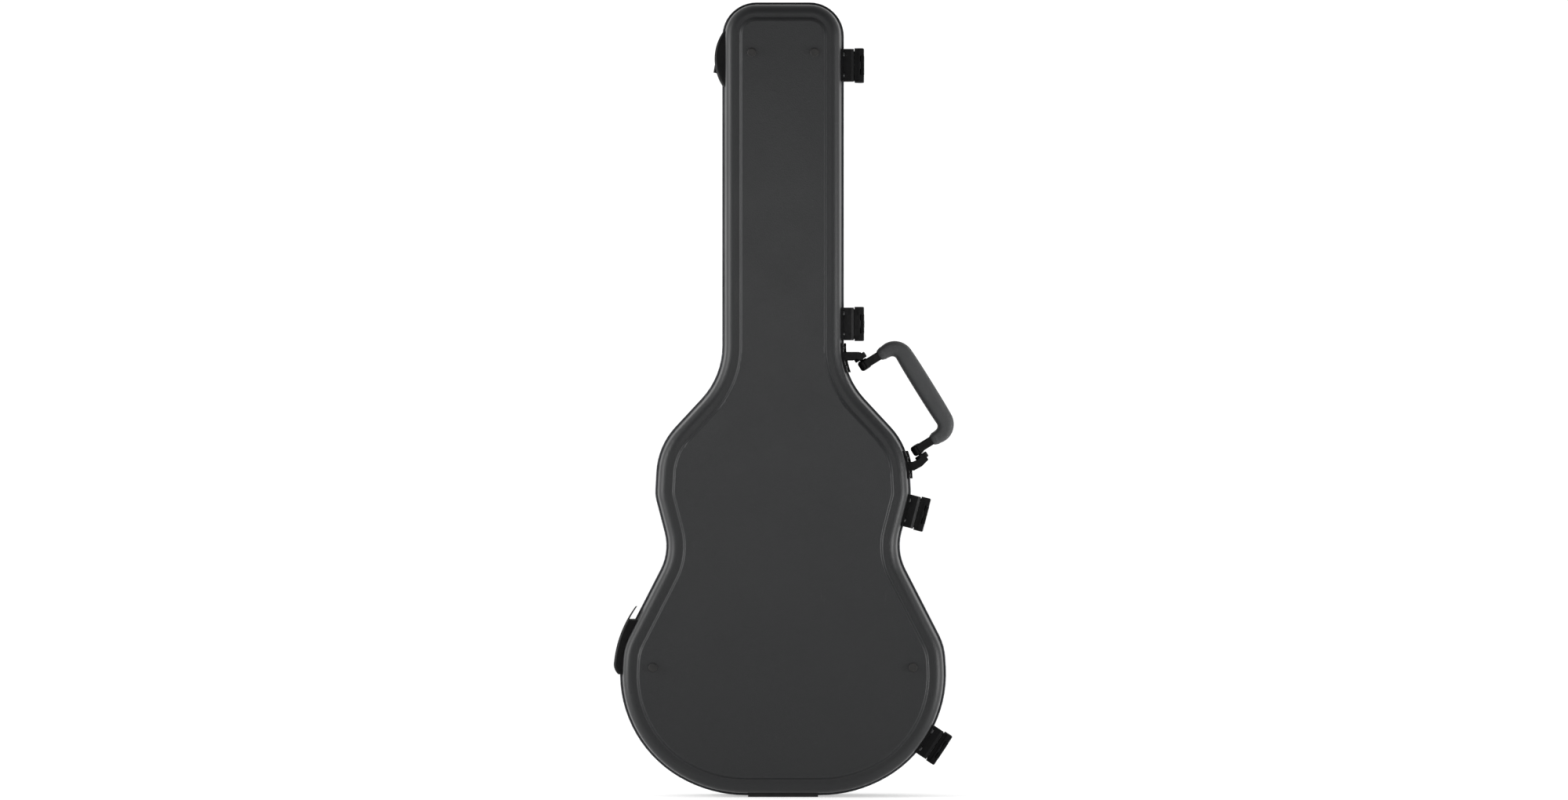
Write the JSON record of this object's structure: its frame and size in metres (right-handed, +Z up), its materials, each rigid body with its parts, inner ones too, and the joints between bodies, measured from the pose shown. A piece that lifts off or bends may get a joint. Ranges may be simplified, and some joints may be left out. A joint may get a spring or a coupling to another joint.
{
  "type": "hardshell guitar case",
  "caption": "Moulded hardshell case for an acoustic guitar, with hinged lid, draw latches, carrying handle, padded interior and accessory box.",
  "frame": {"origin": "on the floor under the tail, on the centreline, in the parting plane between bottom shell and lid", "axes": "+Z up along the neck, +X toward the handle and latches, +Y from the bottom shell toward the lid"},
  "size_m": [0.4676, 0.14, 1.091],
  "materials": {
    "shell": "satin",
    "rim": "satin",
    "seal": "matte",
    "foam": "matte",
    "plush": "matte",
    "box_board": "matte",
    "ribbon": "matte",
    "pad_rubber": "matte",
    "grip": "matte",
    "steel": "satin",
    "chrome_lock": "polished",
    "handle_black": "satin",
    "hardware_black": "satin"
  },
  "bodies": {
    "base": {"accessory_box": "box_board", "back_feet": "pad_rubber", "body_hinge_bottom_cover": "hardware_black", "body_hinge_bottom_leaf": "hardware_black", "bottom_foam": "foam", "bottom_lining": "plush", "bottom_rim": "rim", "bottom_rivets": "steel", "bottom_shell": "shell", "flap_hinge_pin": "steel", "handle_bracket_lower": "hardware_black", "handle_bracket_upper": "hardware_black", "handle_pins": "steel", "head_latch_strike": "hardware_black", "hinge_pins": "steel", "neck_cradle": "plush", "neck_hinge_bottom_cover": "hardware_black", "neck_hinge_bottom_leaf": "hardware_black", "neck_latch_strike": "hardware_black", "tail_latch_strike": "hardware_black", "tail_pad_bottom": "pad_rubber", "waist_latch_strike": "hardware_black"},
    "lid": {"lid_shell": "shell", "lid_rim": "rim", "rim_seal": "seal", "lid_foam": "foam", "lid_lining": "plush", "tail_pad_lid": "pad_rubber", "neck_hinge_lid_leaf": "hardware_black", "body_hinge_lid_leaf": "hardware_black", "neck_hinge_lid_cover": "hardware_black", "body_hinge_lid_cover": "hardware_black", "lid_rivets": "steel", "latch_pins": "steel", "head_latch_mount": "hardware_black", "neck_latch_mount": "hardware_black", "waist_latch_mount": "hardware_black", "tail_latch_mount": "hardware_black"},
    "head_lever": {"head_latch_lever": "hardware_black", "head_trigger_pin": "steel", "head_trigger_spring": "steel"},
    "head_trigger": {"head_latch_trigger": "hardware_black"},
    "neck_lever": {"neck_latch_lever": "hardware_black", "neck_trigger_pin": "steel", "neck_trigger_spring": "steel"},
    "neck_trigger": {"neck_latch_trigger": "hardware_black"},
    "waist_lever": {"waist_latch_lever": "hardware_black", "waist_trigger_pin": "steel", "waist_trigger_spring": "steel"},
    "waist_trigger": {"waist_latch_trigger": "hardware_black"},
    "tail_lever": {"tail_latch_lever": "hardware_black", "tail_trigger_pin": "steel", "tail_trigger_spring": "steel"},
    "tail_trigger": {"tail_latch_trigger": "hardware_black"},
    "lock": {"lock_cylinder": "chrome_lock"},
    "handle": {"handle_core": "handle_black", "handle_grip": "grip"},
    "flap": {"accessory_flap": "plush", "flap_pull_tab": "ribbon"}
  },
  "joints": [
    {"name": "lid_hinge", "type": "hinge", "parent": "base", "child": "lid", "pos_m": [-0.1561, 0, 0.62], "axis": [0.1657, 0, 0.9862], "range_deg": [0, 110]},
    {"name": "head_latch_lift", "type": "hinge", "parent": "lid", "child": "head_lever", "pos_m": [0.0977, 0.017, 1.004], "axis": [0, 0, 1], "range_deg": [0, 105]},
    {"name": "head_trigger_press", "type": "hinge", "parent": "head_lever", "child": "head_trigger", "pos_m": [0.1087, -0.009, 1.004], "axis": [0, 0, 1], "range_deg": [0, 18], "stiffness_Nm_per_rad": 0.05, "springref_deg": -5.73},
    {"name": "neck_latch_lift", "type": "hinge", "parent": "lid", "child": "neck_lever", "pos_m": [0.0977, 0.017, 0.6485], "axis": [0, 0, 1], "range_deg": [0, 105]},
    {"name": "neck_trigger_press", "type": "hinge", "parent": "neck_lever", "child": "neck_trigger", "pos_m": [0.1087, -0.009, 0.6485], "axis": [0, 0, 1], "range_deg": [0, 18], "stiffness_Nm_per_rad": 0.05, "springref_deg": -5.73},
    {"name": "waist_latch_lift", "type": "hinge", "parent": "lid", "child": "waist_lever", "pos_m": [0.18446, 0.017, 0.3885], "axis": [0.2501, 0, 0.9682], "range_deg": [0, 105]},
    {"name": "waist_trigger_press", "type": "hinge", "parent": "waist_lever", "child": "waist_trigger", "pos_m": [0.19511, -0.009, 0.38575], "axis": [0.2501, 0, 0.9682], "range_deg": [0, 18], "stiffness_Nm_per_rad": 0.05, "springref_deg": -5.73},
    {"name": "tail_latch_lift", "type": "hinge", "parent": "lid", "child": "tail_lever", "pos_m": [0.20895, 0.017, 0.06869], "axis": [0.5504, 0, 0.8349], "range_deg": [0, 105]},
    {"name": "tail_trigger_press", "type": "hinge", "parent": "tail_lever", "child": "tail_trigger", "pos_m": [0.21814, -0.009, 0.06264], "axis": [0.5504, 0, 0.8349], "range_deg": [0, 18], "stiffness_Nm_per_rad": 0.05, "springref_deg": -5.73},
    {"name": "key_lock_turn", "type": "hinge", "parent": "neck_lever", "child": "lock", "pos_m": [0.1097, 0.0045, 0.6485], "axis": [1, 0, 0], "range_deg": [0, 90]},
    {"name": "handle_swing", "type": "hinge", "parent": "base", "child": "handle", "pos_m": [0.14825, -0.024, 0.5341], "axis": [-0.5275, 0, 0.8496], "range_deg": [-80, 80]},
    {"name": "accessory_flap_lift", "type": "hinge", "parent": "base", "child": "flap", "pos_m": [-0.038, -0.0426, 0.735], "axis": [0, 0, 1], "range_deg": [0, 85]}
  ]
}
